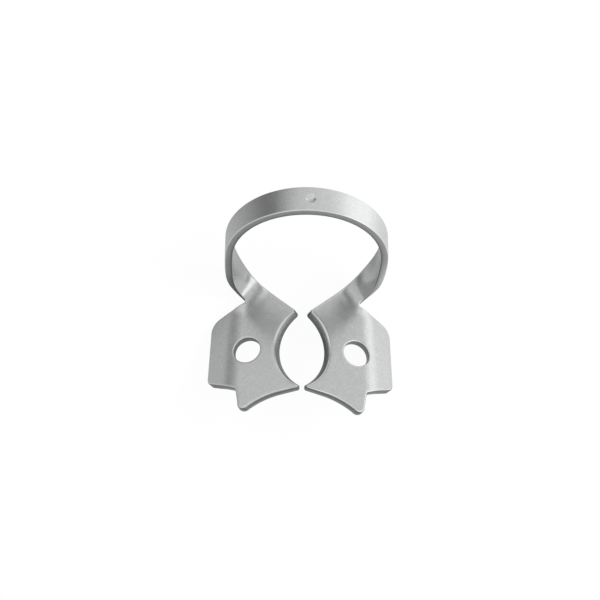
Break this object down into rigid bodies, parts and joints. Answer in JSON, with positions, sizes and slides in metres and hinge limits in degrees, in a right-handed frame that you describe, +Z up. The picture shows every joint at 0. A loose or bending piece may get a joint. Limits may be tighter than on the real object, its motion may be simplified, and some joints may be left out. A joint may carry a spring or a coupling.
{
  "type": "rubber dam clamp",
  "caption": "Spring-steel dental clamp with two winged jaw plates, forceps holes and an arched bow, which holds a rubber dam on a molar.",
  "frame": {"origin": "on the table, below the middle of the clamp's box as it lies", "axes": "+Z up from the table, +X across the jaws, +Y from the jaws to the bow; the clamp lies back on its wings and on the foot of its bow"},
  "size_m": [0.0232, 0.0278, 0.0178],
  "materials": {
    "steel": "satin, tumbled after stamping"
  },
  "bodies": {
    "root": {"clamp": "steel"}
  },
  "joints": []
}
